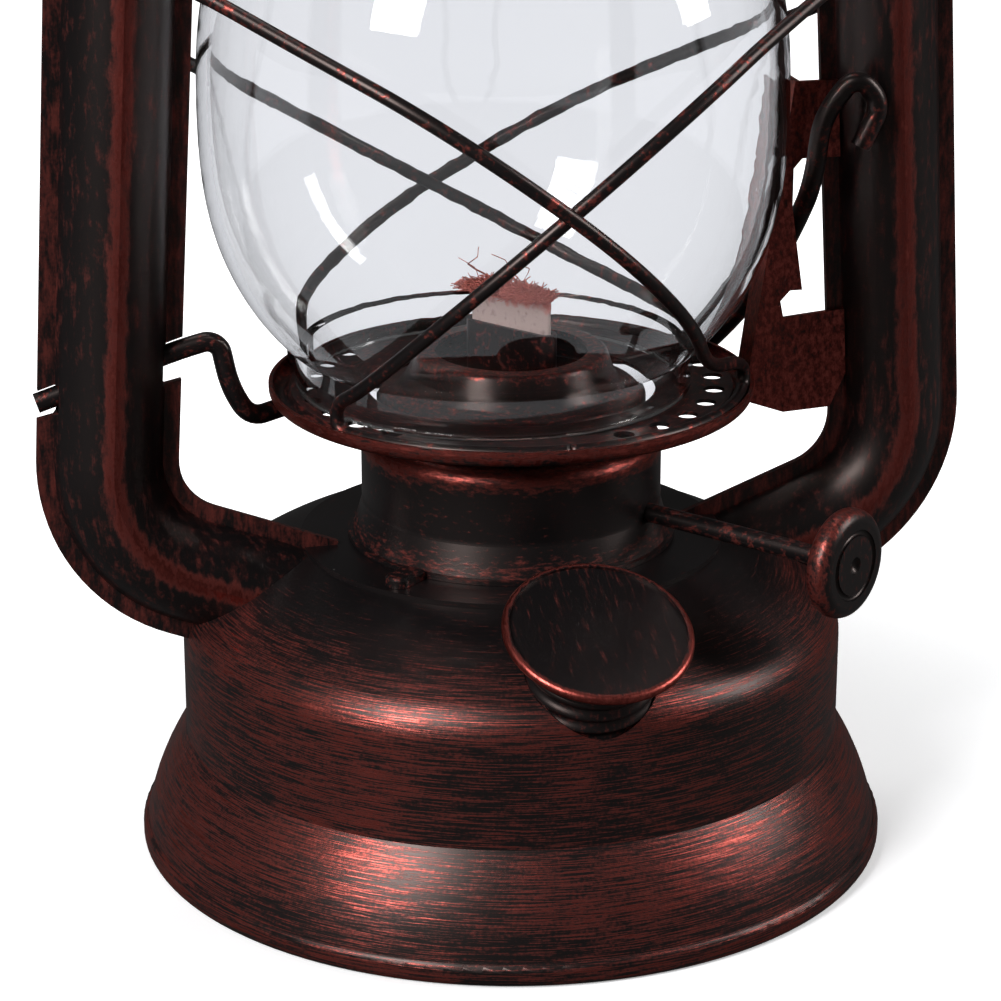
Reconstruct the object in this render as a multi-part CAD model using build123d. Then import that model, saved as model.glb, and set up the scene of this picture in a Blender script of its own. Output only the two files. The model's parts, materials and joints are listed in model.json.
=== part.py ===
from build123d import *
import os
from math import atan2, cos, degrees, radians, sin, sqrt, tan

os.makedirs("parts", exist_ok=True)

# Frame: millimetres, +Z up, the lamp's axis is Z and its rim stands on Z = 0.
# The two side tubes stand at -X and +X, and the filler cap faces the front, -Y.

# Sheet metal and fits
SKIN = 0.8                  # tank, bottom and collar sheet
THIN_SHEET = 0.6            # plate, tube and crown sheet
SEAT_GAP = 0.05             # between soldered or seated pieces
RUN_GAP = 0.05              # radial, shaft in its bearings
SLIDE_GAP = 0.4             # between pieces that slide past each other

# Fuel tank
WALL_RADIUS = 54.3
RIM_RADIUS = WALL_RADIUS + 7.7
RIM_HEIGHT = 4.2
RIM_ROUND = 1.5
WALL_FOOT = 19.6            # height where the flared foot meets the wall
FLARE_BULGE = 0.9           # how far the foot bows out of its straight line
SHOULDER_HEIGHT = 36.2
SHOULDER_ROUND = 8.0
SHOULDER_TURN = 50.0        # degrees of the shoulder's arc
DISC_RADIUS = 34.6          # raised disc on the tank's top
DISC_STEP = 0.9
DOME_TOP = 51.2
BOTTOM_HEIGHT = 21.0
BOTTOM_FLANGE = 5.0
BOTTOM_ROUND = 1.6
TANK_TOP = DOME_TOP + DISC_STEP

# Filler at the front of the dome
FILLER_TURN = 1.5           # degrees from -Y towards +X
FILLER_RADIAL = WALL_RADIUS - 7.7
FILLER_TILT = 24.0
NECK_RADIUS = 10.5
NECK_WALL = 1.0
NECK_RISE = 5.6
NECK_DEPTH = 8.0
GASKET_THICKNESS = 0.9
CAP_DISC_RADIUS = 14.7
CAP_DISC_THICKNESS = 1.7
CAP_LIP = 1.1
CAP_DISH = 0.5
CAP_SKIRT_WALL = 0.6
CAP_SKIRT_LENGTH = 3.2

# Burner
COLLAR_RADIUS = 24.5
COLLAR_FOOT_RADIUS = COLLAR_RADIUS + 1.5
TANK_MOUTH = COLLAR_RADIUS - 1.7
COLLAR_FOOT_HEIGHT = 6.0
COLLAR_TOP = TANK_TOP + 18.1
COLLAR_ROUND = 2.6
AIR_HOLE_COUNT = 16
AIR_HOLE_RADIUS = 1.3
AIR_HOLE_CIRCLE = 16.8
BASE_PLATE_SKIRT = 3.0
CATCH_LENGTH = 6.6
CATCH_WIDTH = 4.2
CATCH_HEIGHT = 1.6
CATCH_TURN = -48.0          # degrees from -Y towards +X
DOME_RING_HEIGHT = COLLAR_TOP + 13.5
DOME_RING_RADIUS = 15.5
DOME_MOUTH = 12.4
DOME_BASE_WALL = 6.8        # straight wall above the collar
DOME_SHELF_RADIUS = 18.4
DOME_SHELF_RISE = 1.0
DOME_CONE_RADIUS = 16.6
DOME_CONE_RISE = 3.6

# Wick and its raiser
WICK_WIDTH = 16.0
WICK_THICKNESS = 1.9
WICK_BOTTOM = BOTTOM_HEIGHT + 8.0
WICK_GAP = 0.2
WICK_TUBE_WALL = 0.6
WICK_TUBE_BOTTOM = TANK_TOP - 8.1
WICK_TUBE_TOP = DOME_RING_HEIGHT + 3.7
WICK_TOP = WICK_TUBE_TOP + 4.6
RAISER_TURN = 37.5          # degrees from -Y towards +X
RAISER_HEIGHT = TANK_TOP + 6.7
WHEEL_RADIUS = 4.4
WHEEL_ROOT = 3.5
WHEEL_TEETH = 14
WHEEL_THICKNESS = 1.2
WHEEL_SPREAD = 9.0
SHAFT_RADIUS = 1.55
SHAFT_INNER_END = 11.0
BEARING_SPREAD = 15.6
BEARING_SHEET = 1.0
BEARING_RIM = 2.2           # metal round the shaft in its bearing
KNOB_RADIUS = 8.7
KNOB_THICKNESS = 4.2
KNOB_REACH = 63.4           # outer face, along the shaft from the lamp's middle
KNOB_BORE_DEPTH = 2.6
KNOB_HUB_RADIUS = 3.4
KNOB_HUB_LENGTH = 1.6
KNOB_GROOVE_RADIUS = 5.2
KNOB_GROOVE = 0.5
KNOB_DIMPLE_RADIUS = 1.6

# Globe plate, globe and guard
PLATE_DECK = COLLAR_TOP + 7.4   # top of the deck
PLATE_HOLE = COLLAR_RADIUS - 1.1
PLATE_LIP = 0.7             # outer lip above the wire's middle
GUARD_WIRE_RADIUS = 1.1
GUTTER_GAP = 0.3
VENT_RADIUS = 1.7
VENT_STEP = 12.7            # degrees
VENT_FIRST = 32.75
VENTS_A_SIDE = 8
PLATE_TURN = -14.75         # how the plate's holes are turned about the axis
GLOBE_RADIUS = 46.6
GLOBE_NECK_RADIUS = 32.1
GUTTER_RADIUS = GLOBE_NECK_RADIUS + 5.2    # middle of the guard wire in the rim's gutter
VENT_CIRCLE = GLOBE_NECK_RADIUS + 0.8
GLOBE_NECK = 6.4            # height of each straight neck
GLOBE_BULB = 80.0           # height between the necks
GLOBE_FULLNESS = 2.6        # exponent of the bulb's outline
GLOBE_WALL = 1.8
GLOBE_SHIFT = (-2.8, 0.7)   # the loose globe has slid towards the left tube
GUARD_GAP = 1.7             # between the globe and the corners of the wire's route
GUARD_END_TURN = (-53.5, 66.0)
GUARD_STUB = 4.0            # where the wire leaves the rim and turns up
GUARD_RISE = 4.5
GUARD_LEG = (               # turn, height over the deck and share of the step over the other leg
    (46.0, 7.9, 0.0),
    (27.0, 19.4, 0.5),
    (9.0, 32.9, 1.0),
    (-9.0, 45.4, 1.0),
    (-27.0, 55.2, 0.5),
    (-46.0, 61.4, 0.0),
)
GUARD_LOOP_GAP = 2.4        # from a tube to the wire that goes round it
GUARD_LOOP_HEIGHT = PLATE_DECK + 74.4
GUARD_LOOP_TILT = 3.0
GUARD_LOOP_INSET = 4.0      # where the wire turns round the tube, inside its middle
GUARD_LOOP_ROUND = 2.0

# Side tubes
TUBE_HALF_WIDTH = 11.3
TUBE_FLANGE = 2.6
TUBE_DEPTH = 8.06           # crest of one half
TUBE_CHEEK = (5.4, 5.6)     # a point of the half's bulge: across, deep
GLOBE_TO_TUBE = 20.1
PLATE_TO_TUBE = 29.4
# Middle of the tube at the height of its lower corner, clear of the globe and of the plate
TUBE_RADIAL = max(GLOBE_RADIUS + GLOBE_TO_TUBE, GUTTER_RADIUS + PLATE_TO_TUBE)
TUBE_LEAN = 0.0608          # leans in by this much per unit of height
TUBE_LOW_CORNER = TANK_TOP + 2.9
TUBE_LOW_SLOPE = 21.0       # degrees below the horizontal at the tank
TUBE_LOW_BEND = 20.0
TUBE_LOW_RUN = TUBE_RADIAL - COLLAR_FOOT_RADIUS - 4.7     # sloping run that ends beside the collar
TUBE_TOP_HEIGHT = 236.0
TUBE_TOP_BEND = 26.0

# Lift lever and its bracket
LEVER_WIRE_RADIUS = 1.6
LEVER_PIVOT = (-TUBE_RADIAL - 8.8, PLATE_DECK + 2.5)     # X, Z
LEVER_SWING = 6.6               # degrees, from the photographed place down to the notch
LEVER_NUB = 9.97                # outer end of the wire, beyond the middle of the tube
LEVER_CLEAR = 3.5               # from the burner's collar to the points of the wire that goes round it
BRACKET_SHEET = 1.0
BRACKET_RETURN = 6.0
SLOT_GAP = 0.4

# Crown, globe cap, hood, lift loop and bail
CROWN_RADIUS = 24.0
CROWN_BOTTOM = TUBE_TOP_HEIGHT - 15.0
CROWN_TOP = TUBE_TOP_HEIGHT + 15.0
CROWN_ROUND = 2.5
SLEEVE_RADIUS = 14.2
SLEEVE_TOP = CROWN_TOP + 25.0
CAP_SKIRT_RADIUS = GLOBE_NECK_RADIUS + 5.5
CAP_SKIRT_DROP = 5.0
CAP_SEAT_INNER = GLOBE_NECK_RADIUS - 6.6
CAP_BELL_HEIGHT = 20.0
SLEEVE_VENTS = 8
SLEEVE_VENT_WIDTH = 6.0
SLEEVE_VENT_HEIGHT = 10.0
SLEEVE_VENT_DROP = 4.0          # metal left above the vents
HOOD_RADIUS = 33.0
HOOD_EAVE_DROP = 12.0
HOOD_SEAT_WIDTH = 3.0
HOOD_PEAK = 12.0
LOOP_WIRE_RADIUS = 1.3
LOOP_WIDTH = 17.0
OVERALL_HEIGHT = SLEEVE_TOP + 34.0
BAIL_WIRE_RADIUS = 1.5
EAR_X = TUBE_RADIAL - 16.7
BAIL_SPAN = EAR_X + 4.0         # from the axis to the middle of each side
BAIL_LENGTH = 110.0
BAIL_HANG = 34.23               # degrees from straight down, towards +Y
BAIL_BEND = 4.0
EAR_SHEET = 1.2
EAR_RADIUS = 4.2
EAR_RISE = 6.0                  # pivot above the tube's upper edge


def polar(turn, radius, height=0.0):
    """A point at an angle from -Y towards +X."""
    return Vector(radius * sin(radians(turn)), -radius * cos(radians(turn)), height)


def lathe(profile):
    """Turns a (radius, height) face about the lamp's axis."""
    return revolve(Plane.XZ * profile, Axis.Z)


def sheet(lines, thickness, side=Side.LEFT):
    """Section of sheet metal that follows a run of lines."""
    return make_face(Wire(lines).offset_2d(thickness, side=side).edges())


def wire(path, radius):
    """Round wire along a path."""
    start = Plane(origin=path @ 0, z_dir=path % 0)
    return sweep(start * Circle(radius), path=path)


def smooth_route(points):
    """Straight runs joined by arcs, each as large as its two runs allow."""
    radii = []
    for before, corner, after in zip(points, points[1:], points[2:]):
        run_in, run_out = corner - before, after - corner
        turn = radians(run_in.get_angle(run_out))
        radii.append(0.45 * min(run_in.length, run_out.length) / tan(turn / 2))
    return FilletPolyline(*points, radius=radii)


# Shared places

def shoulder_end():
    """Point and direction where the tank's shoulder arc meets its dome."""
    turn = radians(SHOULDER_TURN)
    middle = WALL_RADIUS - SHOULDER_ROUND
    return (
        Vector(middle + SHOULDER_ROUND * cos(turn), SHOULDER_HEIGHT + SHOULDER_ROUND * sin(turn)),
        Vector(-sin(turn), cos(turn)),
    )


def dome_height(radius):
    """Height of the tank's dome at a radius, on an arc from the shoulder to the raised disc."""
    start, along = shoulder_end()
    across = Vector(-along.Y, along.X)
    chord = Vector(DISC_RADIUS, DOME_TOP) - start
    bend = chord.dot(chord) / (2 * chord.dot(across))
    middle = start + across * bend
    return middle.Y + sqrt(bend ** 2 - (radius - middle.X) ** 2)


def globe_radius(height):
    """Outer radius of the bulb at a height: a full oval about its middle."""
    middle = PLATE_DECK + SEAT_GAP + GLOBE_NECK + GLOBE_BULB / 2
    edge = 1 - (GLOBE_NECK_RADIUS / GLOBE_RADIUS) ** 2
    half = GLOBE_BULB / 2 / edge ** (1 / GLOBE_FULLNESS)
    return GLOBE_RADIUS * sqrt(1 - (abs(height - middle) / half) ** GLOBE_FULLNESS)


def tube_x(height):
    """Distance of a tube's middle from the axis on its straight run."""
    return TUBE_RADIAL - TUBE_LEAN * (height - TUBE_LOW_CORNER)


FILLER_AXIS = Vector(
    sin(radians(FILLER_TILT)) * sin(radians(FILLER_TURN)),
    -sin(radians(FILLER_TILT)) * cos(radians(FILLER_TURN)),
    cos(radians(FILLER_TILT)),
)
FILLER_SEAT = polar(FILLER_TURN, FILLER_RADIAL, dome_height(FILLER_RADIAL))
FILLER_PLANE = Plane(origin=FILLER_SEAT, z_dir=FILLER_AXIS)

RAISER_ALONG = polar(RAISER_TURN, 1.0)
RAISER_ACROSS = Vector(-RAISER_ALONG.Y, RAISER_ALONG.X)
WICK_TUBE_HALF = WICK_THICKNESS / 2 + WICK_GAP + WICK_TUBE_WALL
RAISER_OFFSET = WICK_THICKNESS / 2 + WICK_GAP + WHEEL_RADIUS
WICK_PLANE = Plane(origin=(0, 0, 0), x_dir=RAISER_ALONG, z_dir=(0, 0, 1))

GLOBE_BOTTOM = PLATE_DECK + SEAT_GAP
GLOBE_TOP = GLOBE_BOTTOM + 2 * GLOBE_NECK + GLOBE_BULB
CAP_SEAT = GLOBE_TOP + SEAT_GAP
HOOD_SEAT = SLEEVE_TOP + SEAT_GAP


def raiser_plane(along):
    """Plane square to the wick shaft, at a distance along it from the lamp's middle."""
    origin = RAISER_ALONG * along + RAISER_ACROSS * RAISER_OFFSET + Vector(0, 0, RAISER_HEIGHT)
    return Plane(origin=origin, x_dir=RAISER_ACROSS, z_dir=RAISER_ALONG)


# Fuel tank

def tank_lines():
    """Outer line of the tank's skin, from inside the rolled rim up to the burner's opening."""
    start = Vector(RIM_RADIUS - RIM_ROUND / 2, RIM_HEIGHT - RIM_ROUND / 2)
    end = Vector(WALL_RADIUS, WALL_FOOT)
    chord = end - start
    bow = (start + end) * 0.5 + Vector(chord.Y, -chord.X).normalized() * FLARE_BULGE
    joint, along = shoulder_end()
    return [
        ThreePointArc(start, bow, end),
        Line(end, (WALL_RADIUS, SHOULDER_HEIGHT)),
        CenterArc((WALL_RADIUS - SHOULDER_ROUND, SHOULDER_HEIGHT), SHOULDER_ROUND, 0, SHOULDER_TURN),
        TangentArc(joint, (DISC_RADIUS, DOME_TOP), tangent=along),
        Line((DISC_RADIUS, DOME_TOP), (DISC_RADIUS, TANK_TOP)),
        Line((DISC_RADIUS, TANK_TOP), (TANK_MOUTH, TANK_TOP)),
    ]


def tank_envelope():
    """The tank as a full body, for trimming what stands on it."""
    lines = tank_lines()
    close = Polyline((TANK_MOUTH, TANK_TOP), (0, TANK_TOP), (0, RIM_HEIGHT), lines[0] @ 0)
    return lathe(make_face(lines + close.edges()))


def make_tank():
    skin = lathe(sheet(tank_lines(), SKIN))
    rim_middle = (RIM_RADIUS - RIM_HEIGHT / 2, RIM_HEIGHT / 2)
    rim = lathe(Pos(*rim_middle) * RectangleRounded(RIM_HEIGHT, RIM_HEIGHT, RIM_ROUND))
    mouth = FILLER_PLANE * Cylinder(NECK_RADIUS + SEAT_GAP, 2 * NECK_DEPTH + NECK_RISE)
    return skin + rim - mouth


def make_tank_bottom():
    outer = WALL_RADIUS - SKIN - SEAT_GAP
    line = FilletPolyline(
        (0, BOTTOM_HEIGHT),
        (outer, BOTTOM_HEIGHT),
        (outer, BOTTOM_HEIGHT + BOTTOM_FLANGE),
        radius=BOTTOM_ROUND,
    )
    return lathe(sheet(line.edges(), SKIN))


# Filler

CAP_SKIRT_INNER = NECK_RADIUS + SLIDE_GAP
CAP_UNDERSIDE = NECK_RISE + GASKET_THICKNESS + 2 * SEAT_GAP


def make_filler_neck():
    """Tube through the dome, whose front hangs out over the tank's shoulder."""
    ring = Circle(NECK_RADIUS) - Circle(NECK_RADIUS - NECK_WALL)
    return FILLER_PLANE * Pos(0, 0, -NECK_DEPTH) * extrude(ring, NECK_RISE + NECK_DEPTH)


def make_filler_gasket():
    ring = Circle(NECK_RADIUS) - Circle(NECK_RADIUS - 2 * NECK_WALL)
    return FILLER_PLANE * Pos(0, 0, NECK_RISE + SEAT_GAP) * extrude(ring, GASKET_THICKNESS)


def make_filler_cap():
    """Dished disc with a rounded lip, over a plain skirt that covers the top of the neck."""
    skirt_outer = CAP_SKIRT_INNER + CAP_SKIRT_WALL
    disc_top = CAP_UNDERSIDE + CAP_DISC_THICKNESS
    disc = lathe(
        Pos(0, CAP_UNDERSIDE)
        * Rectangle(
            CAP_DISC_RADIUS - CAP_DISC_THICKNESS / 2,
            CAP_DISC_THICKNESS,
            align=(Align.MIN, Align.MIN),
        )
    )
    edge_middle = (CAP_DISC_RADIUS - CAP_DISC_THICKNESS / 2, (CAP_UNDERSIDE + disc_top) / 2)
    edge = lathe(Pos(*edge_middle) * Circle(CAP_DISC_THICKNESS / 2))
    dish = Pos(0, 0, disc_top) * Cylinder(CAP_DISC_RADIUS - CAP_LIP, 2 * CAP_DISH)
    skirt_foot = CAP_UNDERSIDE - CAP_SKIRT_LENGTH
    skirt = Pos(0, 0, skirt_foot) * extrude(Circle(skirt_outer) - Circle(CAP_SKIRT_INNER), CAP_SKIRT_LENGTH)
    return FILLER_PLANE * (disc + edge + skirt - dish)


# Burner

def wick_tube_section(grow=0.0):
    """Outline of the flat wick tube, grown for the slot that it passes through."""
    width = WICK_WIDTH + 2 * (WICK_GAP + WICK_TUBE_WALL + grow)
    return SlotOverall(width, 2 * (WICK_TUBE_HALF + grow))


def wick_tube_slot(bottom, top):
    return WICK_PLANE * Pos(0, 0, bottom) * extrude(wick_tube_section(SEAT_GAP), top - bottom)


def make_burner_collar():
    foot = TANK_TOP + SEAT_GAP
    line = FilletPolyline(
        (COLLAR_FOOT_RADIUS + SKIN, foot + SKIN),
        (COLLAR_FOOT_RADIUS, foot + SKIN),
        (COLLAR_RADIUS, foot + COLLAR_FOOT_HEIGHT),
        (COLLAR_RADIUS, COLLAR_TOP),
        (0, COLLAR_TOP),
        radius=[0.0, COLLAR_ROUND, COLLAR_ROUND],
    )
    collar = lathe(sheet(line.edges(), SKIN))
    collar -= wick_tube_slot(TANK_TOP, COLLAR_TOP + SKIN)
    holes = PolarLocations(AIR_HOLE_CIRCLE, AIR_HOLE_COUNT, start_angle=180 / AIR_HOLE_COUNT)
    collar -= Pos(0, 0, COLLAR_TOP) * holes * Cylinder(AIR_HOLE_RADIUS, 4 * SKIN)
    return collar - raiser_plane(COLLAR_RADIUS) * Cylinder(SHAFT_RADIUS + RUN_GAP, COLLAR_RADIUS)


def make_burner_base_plate():
    """Closes the tank's opening, with a skirt that drops into it."""
    outer = COLLAR_RADIUS - SKIN - SEAT_GAP
    line = FilletPolyline(
        (TANK_MOUTH - SEAT_GAP - SKIN, TANK_TOP - BASE_PLATE_SKIRT),
        (TANK_MOUTH - SEAT_GAP - SKIN, TANK_TOP + SEAT_GAP + SKIN),
        (0, TANK_TOP + SEAT_GAP + SKIN),
        radius=SKIN,
    )
    cup = lathe(sheet(line.edges(), SKIN))
    ledge = Circle(outer) - Circle(TANK_MOUTH - 2 * SKIN)
    plate = cup + Pos(0, 0, TANK_TOP + SEAT_GAP) * extrude(ledge, SKIN)
    return plate - wick_tube_slot(WICK_TUBE_BOTTOM, COLLAR_TOP)


def make_burner_catch():
    inner = COLLAR_FOOT_RADIUS + SKIN + SEAT_GAP
    block = Box(CATCH_WIDTH, CATCH_LENGTH, CATCH_HEIGHT, align=(Align.CENTER, Align.MAX, Align.MIN))
    catch = fillet(block.edges().filter_by(Axis.Z).group_by(Axis.Y)[0], CATCH_WIDTH / 2.2)
    catch = chamfer(catch.faces().sort_by(Axis.Z)[-1].edges(), CATCH_HEIGHT / 4)
    return Rot(0, 0, CATCH_TURN) * Pos(0, -inner, TANK_TOP + SEAT_GAP) * catch


def make_burner_dome():
    base = COLLAR_TOP + SEAT_GAP
    wall = COLLAR_RADIUS - COLLAR_ROUND - SEAT_GAP
    shelf = base + DOME_BASE_WALL
    line = FilletPolyline(
        (wall, base),
        (wall, shelf),
        (DOME_SHELF_RADIUS, shelf + DOME_SHELF_RISE),
        (DOME_CONE_RADIUS, shelf + DOME_CONE_RISE),
        (DOME_RING_RADIUS, DOME_RING_HEIGHT),
        (DOME_MOUTH, DOME_RING_HEIGHT),
        radius=[1.4, 0.9, 0.9, 0.9],
    )
    return lathe(sheet(line.edges(), THIN_SHEET))


# Wick and its raiser

def make_wick_tube():
    """Flat tube with slots for the wheels and two tabs that carry the shaft."""
    length = WICK_TUBE_TOP - WICK_TUBE_BOTTOM
    hollow = SlotOverall(WICK_WIDTH + 2 * WICK_GAP, WICK_THICKNESS + 2 * WICK_GAP)
    tube = WICK_PLANE * Pos(0, 0, WICK_TUBE_BOTTOM) * extrude(wick_tube_section() - hollow, length)
    reach = RAISER_OFFSET + SHAFT_RADIUS + BEARING_RIM - WICK_TUBE_HALF
    tab_height = 2 * (SHAFT_RADIUS + BEARING_RIM)
    tab = Pos(WICK_TUBE_HALF - RAISER_OFFSET - SEAT_GAP / 2, 0, 0) * Box(
        reach + SEAT_GAP / 2, tab_height, BEARING_SHEET, align=(Align.MIN, Align.CENTER, Align.CENTER)
    )
    tab -= Cylinder(SHAFT_RADIUS + RUN_GAP, 2 * BEARING_SHEET)
    window = Cylinder(WHEEL_RADIUS + SLIDE_GAP, WHEEL_THICKNESS + 2 * SLIDE_GAP)
    for side in (-1, 1):
        tube -= raiser_plane(side * WHEEL_SPREAD / 2) * window
        tube += raiser_plane(side * BEARING_SPREAD / 2) * tab
    return tube


def make_wick():
    strip = extrude(SlotOverall(WICK_WIDTH, WICK_THICKNESS), WICK_TOP - WICK_BOTTOM)
    return WICK_PLANE * Pos(0, 0, WICK_BOTTOM) * strip


def make_wick_shaft():
    outer_end = KNOB_REACH - KNOB_THICKNESS + KNOB_BORE_DEPTH - SEAT_GAP
    length = outer_end + SHAFT_INNER_END
    shaft = Cylinder(SHAFT_RADIUS, length, align=(Align.CENTER, Align.CENTER, Align.MIN))
    return raiser_plane(-SHAFT_INNER_END) * shaft


def make_wick_wheels():
    """Two spur wheels, one node of two solids."""
    points = []
    for tooth in range(2 * WHEEL_TEETH):
        radius = WHEEL_RADIUS if tooth % 2 == 0 else WHEEL_ROOT
        angle = radians(180 * tooth / WHEEL_TEETH)
        points.append((radius * cos(angle), radius * sin(angle)))
    outline = make_face(Polyline(*points, close=True).edges()) - Circle(SHAFT_RADIUS + RUN_GAP / 2)
    wheel = Pos(0, 0, -WHEEL_THICKNESS / 2) * extrude(outline, WHEEL_THICKNESS)
    wheels = [raiser_plane(side * WHEEL_SPREAD / 2) * wheel for side in (-1, 1)]
    return Compound(children=wheels)


def make_wick_knob():
    """Disc with a rounded rim, a ring groove, a dimple and a hub on the shaft's side."""
    knob = Cylinder(KNOB_RADIUS, KNOB_THICKNESS, align=(Align.CENTER, Align.CENTER, Align.MAX))
    knob = fillet(knob.edges(), KNOB_THICKNESS / 2.2)
    knob -= Torus(KNOB_GROOVE_RADIUS, KNOB_GROOVE)
    knob -= Pos(0, 0, KNOB_DIMPLE_RADIUS / 2) * Sphere(KNOB_DIMPLE_RADIUS)
    hub = Cylinder(KNOB_HUB_RADIUS, KNOB_HUB_LENGTH, align=(Align.CENTER, Align.CENTER, Align.MAX))
    knob += Pos(0, 0, -KNOB_THICKNESS) * hub
    bore_length = KNOB_HUB_LENGTH + KNOB_BORE_DEPTH
    bore = Cylinder(SHAFT_RADIUS + RUN_GAP / 2, bore_length, align=(Align.CENTER, Align.CENTER, Align.MIN))
    knob -= Pos(0, 0, -KNOB_THICKNESS - KNOB_HUB_LENGTH) * bore
    return raiser_plane(KNOB_REACH) * knob


# Globe plate, globe and guard

def make_globe_plate():
    """Flat deck whose rim turns down and up again into a gutter for the guard wire."""
    gutter = GUARD_WIRE_RADIUS + GUTTER_GAP
    inner, outer = GUTTER_RADIUS - gutter, GUTTER_RADIUS + gutter
    line = [
        Line((outer, PLATE_DECK + PLATE_LIP), (outer, PLATE_DECK)),
        ThreePointArc((outer, PLATE_DECK), (GUTTER_RADIUS, PLATE_DECK - gutter), (inner, PLATE_DECK)),
        Line((inner, PLATE_DECK), (PLATE_HOLE, PLATE_DECK)),
    ]
    plate = lathe(sheet(line, THIN_SHEET))
    for side in (-1, 1):
        for vent in range(VENTS_A_SIDE):
            turn = PLATE_TURN + side * (VENT_FIRST + VENT_STEP * vent)
            plate -= Pos(*polar(turn, VENT_CIRCLE, PLATE_DECK)) * Cylinder(VENT_RADIUS, 4 * THIN_SHEET)
    return plate


def globe_outline(inset):
    """Upper and lower necks with a full oval between them, drawn inset from the outer skin."""
    low, high = GLOBE_BOTTOM + GLOBE_NECK, GLOBE_TOP - GLOBE_NECK
    heights = [low + GLOBE_BULB * share for share in (0, 0.08, 0.24, 0.5, 0.76, 0.92, 1)]
    bulb = Spline([(globe_radius(height) - inset, height) for height in heights])
    neck = GLOBE_NECK_RADIUS - inset
    return [
        Line((neck, GLOBE_BOTTOM + GLOBE_WALL / 2), (neck, low)),
        bulb,
        Line((neck, high), (neck, GLOBE_TOP - GLOBE_WALL / 2)),
    ]


def make_globe():
    outside, inside = globe_outline(0), globe_outline(GLOBE_WALL)
    lip = GLOBE_NECK_RADIUS - GLOBE_WALL / 2
    foot = ThreePointArc(outside[0] @ 0, (lip, GLOBE_BOTTOM), inside[0] @ 0)
    head = ThreePointArc(outside[-1] @ 1, (lip, GLOBE_TOP), inside[-1] @ 1)
    return Pos(*GLOBE_SHIFT) * lathe(make_face(outside + inside + [foot, head]))


def guard_leg(start, side, depth, over):
    """Route of one leg from the rim's gutter, across the globe and up towards a tube.

    side is the X side of the rim end, depth is -1 in front and 1 behind, and over is how far this leg
    passes outside the one that it crosses.
    """
    stub = start + Vector(side * abs(start.Y), -depth * abs(start.X), 0).normalized() * GUARD_STUB
    route = [start, stub, stub + Vector(0, 0, GUARD_RISE)]
    shift = Vector(*GLOBE_SHIFT)
    for turn, rise, lift in GUARD_LEG:
        height = PLATE_DECK + rise
        radius = globe_radius(height) + GUARD_WIRE_RADIUS + GUARD_GAP + over * lift
        place = polar(side * turn, radius, height)
        route.append(Vector(place.X, depth * abs(place.Y), place.Z) + shift)
    return route


def guard_loop(side):
    """Route round the outside of a tube, from its front to its back."""
    middle = tube_x(GUARD_LOOP_HEIGHT)
    outside = middle + TUBE_HALF_WIDTH + GUARD_LOOP_GAP
    deep = TUBE_DEPTH + GUARD_LOOP_GAP + GUARD_WIRE_RADIUS
    inside = middle - GUARD_LOOP_INSET
    front = [
        Vector(side * inside, -deep - GUARD_LOOP_ROUND, GUARD_LOOP_HEIGHT - GUARD_LOOP_TILT),
        Vector(side * outside, -deep + GUARD_LOOP_ROUND, GUARD_LOOP_HEIGHT),
    ]
    back = [Vector(point.X, -point.Y, point.Z) for point in front]
    return front + back[::-1]


def make_guard_wire():
    """One bent wire whose ends butt in the front of the gutter.

    It runs along the front of the rim, over to the left tube and down behind, along the back
    of the rim, over to the right tube and down to the front again.
    """
    left, right = [polar(turn, GUTTER_RADIUS, PLATE_DECK) for turn in GUARD_END_TURN]
    left_back, right_back = [Vector(end.X, -end.Y, end.Z) for end in (left, right)]
    butt = degrees(GUTTER_GAP / 2 / GUTTER_RADIUS)
    gutter = CenterArc((0, 0, PLATE_DECK), GUTTER_RADIUS, butt - 90, GUARD_END_TURN[1] - butt)
    back_start = 90 - GUARD_END_TURN[1]
    back = CenterArc((0, 0, PLATE_DECK), GUTTER_RADIUS, back_start, GUARD_END_TURN[1] - GUARD_END_TURN[0])
    last = CenterArc((0, 0, PLATE_DECK), GUTTER_RADIUS, GUARD_END_TURN[0] - 90, -GUARD_END_TURN[0] - butt)
    over = 2 * GUARD_WIRE_RADIUS
    to_left = guard_leg(right, 1, -1, over) + guard_loop(-1) + guard_leg(right_back, 1, 1, over)[::-1]
    to_right = guard_leg(left_back, -1, 1, 0) + guard_loop(1)[::-1] + guard_leg(left, -1, -1, 0)[::-1]
    runs = [gutter, smooth_route(to_left), back, smooth_route(to_right), last]
    return wire(Wire([edge for run in runs for edge in run.edges()]), GUARD_WIRE_RADIUS)


# Side tubes

def tube_path(side):
    """Middle line of a tube in the plane of the two tubes, from inside the tank up to the crown."""
    slope = radians(TUBE_LOW_SLOPE)
    corner = Vector(side * TUBE_RADIAL, 0, TUBE_LOW_CORNER)
    foot = corner + Vector(-side * cos(slope), 0, -sin(slope)) * TUBE_LOW_RUN
    head = Vector(side * tube_x(TUBE_TOP_HEIGHT), 0, TUBE_TOP_HEIGHT)
    crown = Vector(side * (CROWN_RADIUS - CROWN_ROUND), 0, TUBE_TOP_HEIGHT)
    return FilletPolyline(foot, corner, head, crown, radius=[TUBE_LOW_BEND, TUBE_TOP_BEND])


def tube_half_section(inset):
    """Bulge of one half with a soft central ridge, inset from its outer skin."""
    root = TUBE_HALF_WIDTH - TUBE_FLANGE - inset
    cheek = (TUBE_CHEEK[0] - 0.7 * inset, TUBE_CHEEK[1] - 0.7 * inset)
    crest = (0, TUBE_DEPTH - inset)
    left = ThreePointArc((-root, THIN_SHEET - inset), (-cheek[0], cheek[1]), crest)
    right = ThreePointArc(crest, cheek, (root, THIN_SHEET - inset))
    return [left, right]


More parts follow.
